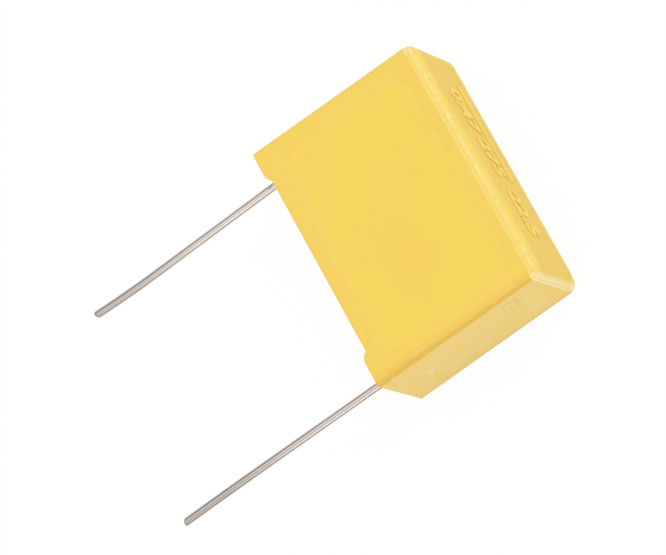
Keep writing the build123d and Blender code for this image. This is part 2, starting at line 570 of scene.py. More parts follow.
def build_specks(given):
    """Small separate spots, of which only a share of places has one."""
    place, spacing, size = given["Vector"], given["Spacing"], given["Spot Size"]
    pulled = place + noise(place, 3.0 / spacing, output="Color") * (spacing * 0.35)
    inputs = {"Vector": pulled, "Scale": 1.0 / spacing}
    cells = results(add_node("ShaderNodeTexVoronoi", inputs))
    draw = results(add_node("ShaderNodeSeparateColor", {0: cells["Color"]}))["Red"]
    spot = fall(cells["Distance"], size * 0.5, size)
    return {"Mask": spot * calc("LESS_THAN", draw, given["Share"])}


def build_scored_line(given):
    """Straight scored line between two points."""
    start, width = given["Start"], given["Width"]
    run, offset = given["End"] - start, given["Vector"] - start
    reached, whole = calc("DOT_PRODUCT", offset, run), calc("DOT_PRODUCT", run, run)
    part = calc("DIVIDE", reached, whole, use_clamp=True)
    return {"Mask": fall(calc("DISTANCE", offset, run * part), width * 0.25, width)}


def build_near(given):
    """Soft round zone about a point."""
    gap = calc("LENGTH", (given["Vector"] - given["Centre"]) / given["Stretch"])
    return {"Mask": fall(gap, given["Radius"] * 0.4, given["Radius"])}


def build_round_zone(given):
    """Soft-edged rectangle with round corners, seen along Z."""
    corner, half_soft = given["Corner"], given["Softness"] * 0.5
    x, y, _ = split(abs(given["Vector"] - given["Middle"]) - given["Half Size"])
    out = join(most(x + corner, 0.0), most(y + corner, 0.0), 0.0)
    beyond = calc("LENGTH", out) - corner
    return {"Mask": fall(beyond, half_soft * -1.0, half_soft)}


def build_drawn_streaks(given):
    """Streaks along Y, as on drawn wire, and the marks of handling across them."""
    place, across = given["Vector"], 1.0 / given["Streak Width"]
    stretched = place * join(across, 1.0 / given["Streak Length"], across)
    marks = noise(place, 2.5 / given["Streak Width"], 3.0, 0.7)
    return {
        "Streaks": ramp(noise(stretched, 1.0, 3.0, 0.55), 0.32, 0.68),
        "Marks": ramp(marks, 0.6, 0.8),
    }


ORIGIN = (0, 0, 0)
GROUPS = {  # what builds each shared effect, and its inputs with their defaults
    "Skin": (build_skin, {"Patch Size": 8.0, "Grain Size": 0.12}),
    "Specks": (build_specks, {"Spacing": 1.0, "Spot Size": 0.2, "Share": 0.2}),
    "Scored line": (
        build_scored_line,
        {"Start": ORIGIN, "End": (0, 0, 1), "Width": 0.1},
    ),
    "Near": (build_near, {"Centre": ORIGIN, "Stretch": (1, 1, 1), "Radius": 1.0}),
    "Round zone": (
        build_round_zone,
        {"Middle": ORIGIN, "Half Size": (1, 1, 0), "Corner": 1.0, "Softness": 1.0},
    ),
    "Drawn streaks": (
        build_drawn_streaks,
        {"Streak Width": 0.1, "Streak Length": 8.0},
    ),
}


def new_group(name):
    """Node group of a shared effect, with its named inputs and outputs."""
    build, inputs = GROUPS[name]
    group = bpy.data.node_groups.new(name, "ShaderNodeTree")

    def add_socket(label, way, kind):
        return group.interface.new_socket(
            name=label, in_out=way, socket_type=f"NodeSocket{kind}"
        )

    for key, default in {"Vector": ORIGIN, **inputs}.items():
        kind = "Vector" if isinstance(default, tuple) else "Float"
        add_socket(key, "INPUT", kind).default_value = default
    made = build(results(group.nodes.new("NodeGroupInput")))
    for key in made:
        add_socket(key, "OUTPUT", "Float")
    out = group.nodes.new("NodeGroupOutput")
    for key, value in made.items():
        feed(out.inputs[key], value)
    return group


def use_group(name, place, **inputs):
    """Results of a shared effect. Underscores in the names stand for spaces."""
    node = place.socket.id_data.nodes.new("ShaderNodeGroup")
    node.node_tree = bpy.data.node_groups.get(name) or new_group(name)
    for key, value in {"Vector": place, **inputs}.items():
        feed(node.inputs[key.replace("_", " ")], value)
    return results(node)


def near(place, centre, stretch, radius):
    """Soft round zone about a point."""
    found = use_group("Near", place, Centre=centre, Stretch=stretch, Radius=radius)
    return found["Mask"]


def new_material(name):
    """Empty material and the place on the object in millimetres."""
    material = bpy.data.materials.new(name)
    material.use_nodes = True
    place = material.node_tree.nodes.new("ShaderNodeTexCoord").outputs["Object"]
    return material, Value(place) / (MM, MM, MM)


def shade(material, height, reach, **inputs):
    """Feed the shader's inputs, and a height of that reach into its normal."""
    shader = material.node_tree.nodes["Principled BSDF"].inputs
    bump = {"Height": height, "Distance": reach * MM, "Strength": 1.0}
    inputs["Normal"] = results(add_node("ShaderNodeBump", bump))["Normal"]
    for key, value in inputs.items():
        feed(shader[key.replace("_", " ")], value)
    return material


# --- materials

TEXTURES = {  # scale, detail and roughness of a noise, then the ranges of its ramp
    "clouds": (0.7, 3.0, 0.6, 0.3, 0.7, 0.3, 1.7),
    "upright line": (0.42, 2.0, 0.5, 0.46, 0.66),
    "wear": (1.3, 4.0, 0.7, 0.32, 0.64, 0.68, 1.2),
    "rubbed line": (1.8, 3.0, 0.7, 0.32, 0.68, 0.02, 0.74),
    "dust": (1.0, 6.0, 0.72, 0.3, 0.7, 0.1, 0.27),
    "score": (2.6, 2.0, 0.5, 0.34, 0.5),
    "grit": (3.8, 2.0, 0.6, 0.56, 0.64),
}
SPANS = {  # ends of a mask in mm, then its softness, or its strength at both ends
    # along X
    "upright": (12.8, 13.4, 0.1),
    "upright's front": (11.9, 12.6, 0.0, 0.5),
    # The upright's line is a painted highlight.
    "upright's line": (12.48, 12.62, 0.06),
    "rubbed end": (12.35, 13.0),
    "end wall": (13.0, 13.06),
    # away from the middle of the thickness
    "upright's depth": (4.4, 4.75),
    "long round": (3.5, 4.1),
    "past the dust": (4.2, 4.72),
    # up from the closed top
    "above the ledge": (-1.03, -0.95),
    "beside the ledge": (-0.38, -0.2),
    # The upper and lower lines are painted highlights, and the ledge shadow a thin line of
    # painted shade.
    "upper line": (-0.52, -0.28, 0.09),
    "lower line": (-0.95, -0.86, 0.04),
    "groove": (-0.86, -0.76, 0.04),
    "rub begins": (-1.16, -1.0),
    "rub ends": (-0.34, 0.0),
    # The crown is a painted highlight on the figures' tops.
    "crown": (0.05, 0.13, 0.0, 0.9),
    # down the free lead
    "aged": (6.0, 22.0, 1.0, 0.3),
}
STRENGTHS = {
    "deeper patches": 0.1,
    "upright's line": 0.22,
    "lower line": 0.16,
    "groove": 0.6,
    "specks": 0.3,
    "dirt": 0.4,
}
SCORES = (  # points along a scored line, its width, and how dark it is
    (
        (
            (-4.1, 16.7, 4.93),
            (-4.2, 17.3, 4.93),
            (-4.36, 18.2, 4.9),
            (-4.45, 18.75, 4.6),
            (-4.54, 19.0, 3.0),
        ),
        0.13,
        0.075,
    ),
    (((7.4, 1.75, 4.98), (9.7, 1.3, 4.98)), 0.14, 0.08),
    (((13.2, 5.5, 1.6), (13.2, 5.1, 0.6)), 0.12, 0.14),
    (((13.2, 4.4, -0.1), (13.2, 3.8, -0.5)), 0.12, 0.12),
    (((13.1, 11.8, 4.2), (13.1, 10.6, 2.4)), 0.1, 0.07),
)
# Patches of painted highlight and painted shade on the sunk front.
PAINTED_SINK_SHADING = (  # lighter places on the front, or darker ones if below nought
    ((-2.2, 10.6, 4.9), (4.2, 1.9, 3), 0.012),
    ((-7.2, 4.9, 4.9), (4.6, 2.2, 3), 0.01),
    ((-4.0, 2.7, 4.9), (8.5, 1.3, 3), 0.016),
    ((-11.2, 15.0, 4.9), (0.9, 2.8, 3), 0.018),
    ((5.5, 8.4, 4.9), (5.2, 4.0, 3), -0.05),
)
# The two at the left top corner are painted highlights.
PALE_SPOTS_AND_HIGHLIGHTS = (  # middle, stretch, radius and strength
    ((13.2, 3.5, 0.1), (1, 0.8, 1.2), 0.7, 0.35),
    ((-12.64, 18.1, 4.8), (1.3, 0.7, 3), 0.35, 0.35),
    ((-12.3, 18.5, 4.5), (1.6, 0.7, 3), 0.35, 0.35),
    ((-10.4, 0.22, 4.9), (1, 0.7, 3), 0.3, 0.3),
)
DARK_SPOTS = (  # middles of dark dots
    (-8.9, 17.5, 4.92),
    (-2.2, 17.35, 4.92),
    (-1.5, 18.3, 4.8),
    (-9.6, 4.7, 4.97),
    (-12.3, 19.0, 2.3),
)
DARK_SPOT_RADIUS = 0.16
SPECK_ZONE = ((13.1, 14.4, 2.3), (1, 0.7, 1.2), 2.2)  # middle, stretch and radius
NICK = ((-11.3, -1.62, 0.38), (1, 1.5, 2), 0.24)  # the same, on the left lead
GATE_RING = ((8.86, 14.83, 4.9), 0.36, 0.07)  # middle, radius and width of its edge
SWIRL_SCALE, SWIRL_REACH = 0.13, (1.6, 1.6, 0)  # how soft zones wander

# Stripes of painted dark reflection round each lead.
PAINTED_DARK_REFLECTIONS = {  # turn from the front, half width in degrees, and darkness
    "left": (
        (-11, 14, 0.62),
        (28, 6, 0.15),
        (62, 10, 0.45),
        (150, 14, 0.5),
        (-110, 10, 0.5),
    ),
    "right": (
        (-14, 13, 0.7),
        (62, 10, 0.78),
        (28, 7, 0.65),
        (165, 14, 0.5),
        (-95, 10, 0.5),
    ),
}
# Stripes of painted highlight round each lead.
PAINTED_HIGHLIGHT_LINES = {  # the same, with brightness
    "left": ((8, 8, 0.3), (45, 12, 0.75), (-48, 22, 0.8), (98, 22, 0.8)),
    "right": ((8, 8, 0.2), (45, 11, 1.0), (-50, 22, 0.8), (98, 22, 0.8)),
}
BUBBLE = (0.35, 0.2, 0.06)  # this and the next four are colours
FILM_DARK, FILM_BRIGHT = (0.55, 0.57, 0.6), (0.7, 0.71, 0.72)
ZINC_DARK, ZINC_BRIGHT = (0.42, 0.42, 0.43), (0.58, 0.58, 0.59)


def texture(place, name):
    """Named noise of the case's skin."""
    scale, detail, roughness, *span = TEXTURES[name]
    return ramp(noise(place, scale, detail, roughness), *span)


def case_material(settings):
    """Moulded polyester with slow tone changes, specks, scratches, pale rub, and painted
    highlights, sheen and shade.
    """
    material, place = new_material("moulded_polyester")
    skin = use_group("Skin", place, Patch_Size=7.0, Grain_Size=0.16)
    x, y, z = split(place)
    depth = abs(z)
    swirl = noise(place, SWIRL_SCALE, output="Color") - (0.5, 0.5, 0.5)
    swirled = place + swirl * SWIRL_REACH

    # The front is sunk, painted lighter inside, with a painted highlight round it and
    # patches of painted highlight and shade.
    left, right, low, high = (
        getattr(settings, f"sink_{edge}") / MM
        for edge in ("left", "right", "low", "high")
    )
    sunk = use_group(
        "Round zone",
        swirled,
        Middle=((left + right) / 2, (low + high) / 2, 0),
        Half_Size=((right - left) / 2, (high - low) / 2, 0),
        Corner=settings.sink_corner / MM,
        Softness=1.0,
    )["Mask"]
    front = calc("GREATER_THAN", z, (HALF_DEPTH - FRONT_BAND) / MM)
    sunk = sunk * front
    base = blend(sunk, settings.plastic, settings.plastic_sunk_shading)
    shoulder = sunk * (1.0 - sunk) * 4.0 * skin["Patches"]
    base = blend(shoulder, base, settings.plastic_rim_highlight)
    patches = skin["Patches"] * STRENGTHS["deeper patches"]
    base = blend(patches, base, settings.plastic_deep_and_shade)
    uneven = texture(place, "clouds")
    for centre, stretch, amount in PAINTED_SINK_SHADING:
        cloud = near(swirled, centre, stretch, 1.0) * uneven * abs(amount)
        toward = settings.dust_and_sheen if amount > 0 else settings.plastic_deep_and_shade
        base = blend(cloud, base, toward)

    # The uprights are painted a deeper colour as shade, with a painted highlight in a
    # broken line beside them.
    up = y - HEIGHT / MM
    top = ramp(up, *SPANS["above the ledge"])
    walls = 1.0 - top
    upright = between(x, *SPANS["upright"]) * ramp(depth, *SPANS["upright's depth"])
    upright = most(upright, ramp(x, *SPANS["upright's front"]) * front)
    base = blend(upright * walls, base, settings.plastic_deep_and_shade)
    light = between(x, *SPANS["upright's line"]) * texture(place, "upright line")
    light = light * walls * STRENGTHS["upright's line"]
    base = blend(light, base, settings.dust_and_sheen)

    # The long rounds get a painted highlight, with painted shade beside the ledge.
    long_side = ramp(depth, *SPANS["long round"])
    band = top * long_side
    base = blend(band, base, settings.plastic_highlight)
    ledge = fall(up, *SPANS["beside the ledge"]) * band
    base = blend(ledge, base, settings.plastic_ledge_shade)

    # The top edges get pale painted highlights, partly rub, along two lines and all over
    # the right end, with a thin line of painted shade at its ledge.
    upper_line = between(up, *SPANS["upper line"]) * texture(place, "rubbed line")
    lower_line = between(up, *SPANS["lower line"]) * STRENGTHS["lower line"]
    groove = 1.0 - between(up, *SPANS["groove"]) * STRENGTHS["groove"]
    end_rub = ramp(up, *SPANS["rub begins"]) * fall(up, *SPANS["rub ends"]) * groove
    end_rub = end_rub * texture(place, "wear") * ramp(x, *SPANS["rubbed end"])
    rub = most(most(upper_line, lower_line) * long_side, end_rub)
    base = blend(rub, base, settings.rubbed_highlight)
    # The figures' raised tops get a painted highlight.
    crown = ramp(up, *SPANS["crown"])
    base = blend(crown, base, settings.plastic_highlight)

    # A painted sheen, mottled like fine dust, and faint scratches dull the end walls; the
    # pale spots at the left top corner are painted highlights.
    dust = ramp(abs(x), *SPANS["end wall"]) * fall(depth, *SPANS["past the dust"])
    dust = dust * walls
    slant = {"Vector": place, "Rotation": (radians(35), 0, 0), "Scale": (1, 0.45, 1)}
    drag = results(add_node("ShaderNodeMapping", slant))["Vector"]
    base = blend(dust * texture(drag, "dust"), base, settings.dust_and_sheen)
    for centre, stretch, radius, amount in PALE_SPOTS_AND_HIGHLIGHTS:
        pale = near(swirled, centre, stretch, radius) * amount
        base = blend(pale, base, settings.dust_and_sheen)

    scored = 0.0
    for points, width, darkness in SCORES:
        for start, end in zip(points, points[1:]):
            ends = {"Start": start, "End": end}
            line = use_group("Scored line", place, **ends, Width=width)["Mask"]
            scored = most(scored, line * darkness)
    scored = scored * texture(place, "score")
    few = use_group("Specks", place, Spacing=1.6, Spot_Size=0.05, Share=0.3)["Mask"]
    crowd = near(place, *SPECK_ZONE) * texture(place, "grit")
    dirt = most(crowd, few * STRENGTHS["specks"])
    for centre in DARK_SPOTS:
        spot = near(place, centre, (1, 1, 1), DARK_SPOT_RADIUS)
        dirt = most(dirt, spot * STRENGTHS["specks"])
    base = blend(most(dirt * STRENGTHS["dirt"], scored), base, settings.dirt)

    rough = skin["Grain"] * 0.12 + (settings.roughness - 0.06)
    rough = rub * (settings.polished - settings.roughness) + rough
    centre, radius, width = GATE_RING
    ring = fall(abs(calc("DISTANCE", place, centre) - radius), 0.0, width)
    height = skin["Relief"] * 0.5 - scored * 4.0 - ring * 0.25
    return shade(material, height, 0.02, Base_Color=base, Roughness=rough, IOR=1.46)


def resin_material(settings):
    """Cast resin: slow tone changes and small bubbles in a soft skin."""
    material, place = new_material("cast_epoxy")
    skin = use_group("Skin", place, Patch_Size=2.5, Grain_Size=0.1)
    bubbles = use_group("Specks", place, Spacing=0.9, Spot_Size=0.22, Share=0.3)
    bubbles = bubbles["Mask"]
    base = blend(skin["Patches"], settings.resin_deep, settings.resin)
    base = blend(bubbles * 0.35, base, BUBBLE)
    rough = skin["Grain"] * 0.25 + 0.28
    height = skin["Relief"] - bubbles * 0.8
    return shade(material, height, 0.05, Base_Color=base, Roughness=rough)


def lead_material(side, settings, axis_x, free):
    """Tinned drawn wire with streaks along it, marks from handling, and stripes of painted
    highlight and painted dark reflection.
    """
    material, place = new_material(f"tinned_wire_{side}")
    lean, hook, shift = lead_bend(side, settings)
    x, y, z = split(place)
    # The wire's own axis at this height, so that the streaks follow its bend.
    start = settings.hook_start
    down = most(y * -1.0, 0.0)
    beyond = most((down - start / MM) / ((free - start) / MM), 0.0)
    centre = down * tan(lean) + (axis_x + shift) / MM
    across = x - (beyond * beyond * (hook / MM) + centre)
    wire = join(across, y, z)
    wide = use_group("Drawn streaks", wire, Streak_Width=0.3, Streak_Length=60.0)
    fine = use_group("Drawn streaks", wire, Streak_Width=0.08, Streak_Length=16.0)
    aged = ramp(down, *SPANS["aged"])
    streaks = (wide["Streaks"] * 0.5 + fine["Streaks"] * 0.5) * aged
    base = blend(streaks, settings.tin_dull, settings.tin)
    outward_flat = calc("NORMALIZE", join(across, 0.0, z))

    def stripes(found, lines):
        """Stripes of painted highlight or painted dark reflection along the wire, at a few
        places round it.
        """
        for turn, reach, strength in lines:
            toward = (sin(radians(turn)), 0, cos(radians(turn)))
            close = calc("DOT_PRODUCT", outward_flat, toward)
            edge, full = cos(radians(reach)), cos(radians(0.3 * reach))
            found = most(found, ramp(close, edge, full, 0.0, strength))
        return found

    # Stripes of painted highlight along the wire.
    bright = stripes(0.0, PAINTED_HIGHLIGHT_LINES[side]) * aged
    base = blend(bright, base, settings.tin_highlight)
    # Handling marks and a nick, with stripes of painted dark reflection.
    marks = most(fine["Marks"] * 0.3, near(place, *NICK) * 0.6)
    uneven = ramp(fine["Streaks"], 0.0, 1.0, 1.1, 0.75)
    dark = stripes(marks, PAINTED_DARK_REFLECTIONS[side]) * uneven
    return shade(
        material,
        streaks,
        0.006,
        Base_Color=blend(dark, base, settings.tin_marks_and_shade),
        Roughness=streaks * -0.06 + aged * -0.1 + 0.38,
        Metallic=1.0 - dark * 0.3,
    )


def film_material():
    """Edges of wound metallised film: silvery, with slow tone changes and a fine grain."""
    material, place = new_material("metallised_film")
    place = place - (0, (ROLL_LOW.y + ROLL_HIGH.y) / 2 / MM, 0)
    skin = use_group("Skin", place, Patch_Size=4.0, Grain_Size=0.2)
    return shade(
        material,
        skin["Relief"],
        0.03,
        Base_Color=blend(skin["Patches"], FILM_DARK, FILM_BRIGHT),
        Metallic=skin["Grain"] * 0.2 + 0.75,
        Roughness=skin["Patches"] * 0.1 + 0.18,
    )


def spray_material():
    """Arc-sprayed zinc: matt, grainy and grey."""
    material, place = new_material("sprayed_zinc")
    skin = use_group("Skin", place, Patch_Size=1.5, Grain_Size=0.12)
    lumps = use_group("Specks", place, Spacing=0.25, Spot_Size=0.5, Share=0.6)["Mask"]
    return shade(
        material,
        lumps + skin["Grain"],
        0.06,
        Base_Color=blend(skin["Patches"], ZINC_DARK, ZINC_BRIGHT),
        Metallic=0.9 - lumps * 0.2,
        Roughness=skin["Grain"] * 0.2 + 0.55,
    )


# --- pieces

PAST = 1 * MM  # how far a cutting tool reaches past what it cuts
WARP_REACH = 1.5  # a spread corner's reach as a share of the upright round
CLOSE = 0.01 * MM  # what counts as the same place
UPRIGHT, OUTWARD, DOWNWARD = 0.1, 0.6, -0.2  # limits of a rim face's normal
FINE, COARSE = 6, 3  # segments of wider and of narrow rounds
ROLL_SEAT = 0.05 * MM  # between the ribs and the roll
RIB_TAPER = 0.4  # the ribs' inner width as a share of the outer one
RIB_START = 2 * MM  # how far up the roll the wall ribs begin
SINK_STEP, SINK_MARGIN = 0.45 * MM, 1.2 * MM  # lines over the front, and its border
LETTER_DEPTH, LETTER_ROUND = 0.05, 0.035  # on letters 1 high
RULE_ROUND = 0.8  # the rule's round as a share of its relief
LEAD_SIDES, LEAD_SLICES = 40, 40
LEAD_TOP_ROUND = 0.08 * MM
LEAD_FADE = 8 * MM  # how far up in the part a lead's shift dies away
PRESSED_AREA = 0.96  # share of the wire's section that the weld leaves
COLLAR_FOLLOW = 0.9  # share of its lead's shift that a collar of resin has
COLLAR_SINK = 0.1 * MM  # how far a collar goes into the rest
MENISCUS_STEPS = 6


def core_block(name, settings, low):
    """The space inside the case's walls, down to Y = low."""
    halves = (HALF_LENGTH - settings.end_wall, HALF_DEPTH - settings.side_wall)
    high = HEIGHT - settings.top_wall
    drafts = (settings.cavity_end_draft, settings.cavity_side_draft)
    rounds = [settings.cavity_round] * 4
    return drafted_block(name, halves, low, high, drafts, rounds, segments=4)


def sink_weight(point, settings):
    """How far a point of the front face has sunk, from 0 to 1."""
    corner = settings.sink_corner
    out_x = max(settings.sink_left - point.x, point.x - settings.sink_right) + corner
    out_y = max(settings.sink_low - point.y, point.y - settings.sink_high) + corner
    beyond = hypot(max(out_x, 0), max(out_y, 0)) - corner
    part = min(max(0.5 - beyond / settings.sink_shoulder, 0), 1)
    return part * part * (3 - 2 * part)


def sink_front(case, settings):
    """Divide the front face finely and let it sink where the wall is widest."""
    with editing(case):
        for normal, first, last in (
            (Vector((1, 0, 0)), -HALF_LENGTH, HALF_LENGTH),
            (Vector((0, 1, 0)), 0, HEIGHT),
        ):
            place = first + SINK_MARGIN
            while place < last - SINK_MARGIN:
                pick(case, "FACE", lambda f: f.normal.z > FACING)
                bpy.ops.mesh.bisect(plane_co=normal * place, plane_no=normal)
                place += SINK_STEP
    group = case.vertex_groups.new(name="sink")
    for vertex in case.data.vertices:
        if vertex.co.z > HALF_DEPTH - FRONT_BAND:
            group.add([vertex.index], sink_weight(vertex.co, settings), "REPLACE")
    apply_modifier(
        case,
        "DISPLACE",
        direction="Z",
        strength=-settings.sink_depth,
        mid_level=0,
        vertex_group="sink",
    )
    case.vertex_groups.clear()


def add_ribs(core, settings):
    """Cut the ribs' shapes from the core, so that the case keeps them."""
    top = HEIGHT - settings.top_wall + PAST
    near_z, far_z = ROLL_HIGH.z + ROLL_SEAT, HALF_DEPTH
    for x in (-settings.rib_spacing / 2, settings.rib_spacing / 2):
        left, right = x - settings.rib_width / 2, x + settings.rib_width / 2
        roof_low = (left, ROLL_HIGH.y + ROLL_SEAT, -far_z)
        roof = add_block("roof_rib", roof_low, (right, top, far_z))
        combine(core, roof, "DIFFERENCE")
        for low_z, high_z in ((-far_z, -near_z), (near_z, far_z)):
            wall_low = (left, ROLL_LOW.y + RIB_START, low_z)
            rib = add_block("wall_rib", wall_low, (right, top, high_z))
            with editing(rib):
                pick(rib, "VERT", lambda v: abs(v.co.z) < (near_z + far_z) / 2)
                resize((RIB_TAPER, 1, 1), (x, 0, 0))
            combine(core, rib, "DIFFERENCE")


def cut_foot_gap(case, settings):
    """Cut the rim back between the feet, whose inner ends lean and are round."""
    left = settings.foot_left - HALF_LENGTH
    right = HALF_LENGTH - settings.foot_right
    wide, foot = HALF_DEPTH + PAST, settings.foot_height
    gap = add_block("foot_gap", (left, -foot, -wide), (right, foot, wide))
    with editing(gap):
        pick(gap, "VERT", lambda v: v.co.y > 0 and v.co.x < 0)
        move(0, -settings.rim_tilt, 0)
        for side in (-1, 1):
            pick(gap, "VERT", lambda v: v.co.y < 0 and v.co.x * side > 0)
            move(2 * side * settings.foot_slope, 0, 0)
    combine(case, gap, "DIFFERENCE")
    # The tilt takes the left foot's inner end a little further in.
    left_rise = foot - settings.rim_tilt
    left_run = 2 * settings.foot_slope * left_rise / (foot + left_rise)

    def inner_end(edge, end):
        """Whether an edge is the low inner edge of a foot that ends at X = end."""
        place = middle(edge)
        low = abs(along(edge).z) > ALONG and abs(place.y) < CLOSE
        return low and abs(place.x - end) < 2 * CLOSE

    def outer_rim(edge):
        """Whether an edge lies between the rim and an outer wall."""
        place = middle(edge)
        near_end = abs(place.x) > HALF_LENGTH - settings.upright_round
        near_side = abs(place.z) > HALF_DEPTH - settings.upright_round
        if place.y > foot + 5 * CLOSE or not (near_end or near_side):
            return False
        normals = [face.normal for face in edge.link_faces]
        outward_wall = any(
            abs(n.y) < UPRIGHT
            and n.x * place.x + n.z * place.z > 0
            and max(abs(n.x), abs(n.z)) > OUTWARD
            for n in normals
        )
        return outward_wall and any(n.y < DOWNWARD for n in normals)

    def back_corner(vertex):
        """Whether a point is at the right foot's back corner."""
        reach, place = WARP_REACH * settings.upright_round, vertex.co
        right_end = place.x > HALF_LENGTH - reach
        back = place.z < reach - HALF_DEPTH
        return place.y < 2 * settings.rim_round and right_end and back

    with editing(case):
        for end, reach in (
            (left - left_run, settings.left_foot_round),
            (right + settings.foot_slope, settings.right_foot_round),
        ):
            pick(case, "EDGE", lambda e: inner_end(e, end))
            round_off(reach, FINE)
        pick(case, "EDGE", outer_rim)
        round_off(settings.rim_round, COARSE)
        pick(case, "VERT", back_corner)
        move(settings.warp, -settings.warp, 0)


def make_case(settings):
    """Drafted case with a parting ledge, a sunk front, feet, a cavity and ribs."""
    name, halves = "moulded_case", (HALF_LENGTH, HALF_DEPTH)
    drafts = (settings.end_draft, settings.side_draft)
    rounds = [settings.upright_round, settings.top_round]
    rounds += [settings.end_round_left, settings.end_round_right]
    case = drafted_block(name, halves, 0, HEIGHT, drafts, rounds, segments=10)
    deepest = HEIGHT - max(rounds) - 10 * CLOSE
    ledge_top = HEIGHT - settings.ledge_drop
    step = settings.ledge_step
    with editing(case):
        pick(case, "VERT", lambda v: v.co.y > deepest)
        squash = settings.top_drop / settings.top_round
        resize((1, squash, 1), (0, HEIGHT, 0))
        for y in (ledge_top - settings.ledge_rise, ledge_top):
            bpy.ops.mesh.select_all(action="SELECT")
            slice_at(y)
        pick(case, "VERT", lambda v: v.co.y > ledge_top - settings.ledge_rise / 2)
        shares = (1 - step / HALF_LENGTH, 1, 1 - step / HALF_DEPTH)
        resize(shares, (0, 0, 0))
    core = core_block("core", settings, -PAST)
    add_ribs(core, settings)
    combine(case, core, "DIFFERENCE")
    cut_foot_gap(case, settings)
    sink_front(case, settings)
    smooth_finish(case, limit=38)
    finish_piece(case, case_material(settings), "case_plastic", "case")


def raised_text(name, which, settings):
    """Raised figures on the closed top, between two places along it."""
    text, left, right = (
        getattr(settings, f"{which}_{what}") for what in ("text", "left", "right")
    )
    bpy.ops.object.select_all(action="DESELECT")
    bpy.ops.object.text_add()
    letters = bpy.context.object.data
    letters.body = text
    letters.extrude, letters.bevel_depth = LETTER_DEPTH, LETTER_ROUND
    letters.bevel_resolution, letters.resolution_u = 2, 6
    bpy.ops.object.convert(target="MESH")
    figures = bpy.context.object
    figures.name = figures.data.name = name
    corners = [Vector(corner) for corner in figures.bound_box]
    low = Vector(min(c[i] for c in corners) for i in range(3))
    size = Vector(max(c[i] for c in corners) for i in range(3)) - low
    figures.location = -low
    settle()
    wanted = (right - left, settings.height, 2 * settings.relief)
    figures.scale = [want / now for want, now in zip(wanted, size)]
    settle()
    # The text's own X, Y and Z become the part's X, -Z and Y.
    figures.rotation_euler = (-pi / 2, 0, 0)
    figures.location = (left, HEIGHT - settings.relief, settings.baseline)
    settle()
    return figures


def make_figures(settings, material):
    """Plain raised numbers and a raised rule on the closed top."""
    figures = raised_text("raised_figures", "first", settings)
    more = raised_text("raised_figures_right", "second", settings)
    half, back, relief = settings.rule_width / 2, settings.rule_back, settings.relief
    rule = add_block(
        "raised_rule",
        (settings.rule_left, HEIGHT - relief, back - half),
        (settings.rule_right, HEIGHT + relief, back + half),
    )
    with editing(rule):
        pick(rule, "EDGE", lambda e: middle(e).y > HEIGHT)
        round_off(RULE_ROUND * relief, COARSE)
    for piece in (figures, more, rule):
        smooth_finish(piece, limit=50)
        finish_piece(piece, material, "case_plastic")


def lead_bend(side, settings):
    """Lean of a lead, bend of its tip and shift of its root."""
    return [getattr(settings, f"{side}_{what}") for what in ("splay", "hook", "shift")]


def lead_shift(y, bend, start, free):
    """How far a lead stands off its true axis at a height y."""
    lean, hook, shift = bend
    if y > 0:
        return shift * max(1 - y / LEAD_FADE, 0)
    return shift - y * tan(lean) + hook * (max(-y - start, 0) / (free - start)) ** 2


def make_lead(side, low, high, settings):
    """Drawn wire with a cropped round tip, pressed flat where it is welded."""
    radius, axis_x = settings.diameter / 2, (low.x + high.x) / 2
    lead = add_primitive(
        f"tinned_lead_{side}",
        bpy.ops.mesh.primitive_cylinder_add,
        vertices=LEAD_SIDES,
        radius=radius,
        depth=high.y - low.y,
        location=(axis_x, (low.y + high.y) / 2, 0),
        rotation=(pi / 2, 0, 0),
    )
    slant = getattr(settings, f"{side}_crop")
    tip_round = getattr(settings, f"{side}_tip")
    flat, press = settings.pressed_start, settings.pressed_share
    gap = (high.y - low.y) / LEAD_SLICES
    with editing(lead):
        pick(lead, "VERT", lambda v: v.co.y < low.y + 0.1 * CLOSE)
        bpy.ops.transform.rotate(
            value=slant,
            orient_axis="Z",
            center_override=(axis_x + copysign(radius, slant), low.y, 0),
        )
        for top, reach in ((False, tip_round), (True, LEAD_TOP_ROUND)):
            pick(lead, "FACE", lambda f: len(f.verts) > 4 and (f.normal.y > 0) == top)
            round_off(reach, FINE)
        for y in [low.y + n * gap for n in range(1, LEAD_SLICES)] + [0, flat]:
            bpy.ops.mesh.select_all(action="SELECT")
            slice_at(y)
        pick(lead, "VERT", lambda v: v.co.y > flat - CLOSE)
        resize((press, 1, PRESSED_AREA / press), (axis_x, 0, 0))
        # Each level is moved once, so levels lie further apart than a pick reaches.
        reach = 0.4 * CLOSE
        levels = []
        for y in sorted(v.co.y for v in bmesh.from_edit_mesh(lead.data).verts):
            if not levels or y - levels[-1] > reach:
                levels.append(y)
        bend = lead_bend(side, settings)
        for y in levels:
            pick(lead, "VERT", lambda v: 0 <= v.co.y - y <= reach)
            move(lead_shift(y, bend, settings.hook_start, -low.y), 0, 0)
    smooth_finish(lead, limit=50)
    material = lead_material(side, settings, axis_x, -low.y)
    finish_piece(lead, material, "tinned_wire", f"lead_{side}")


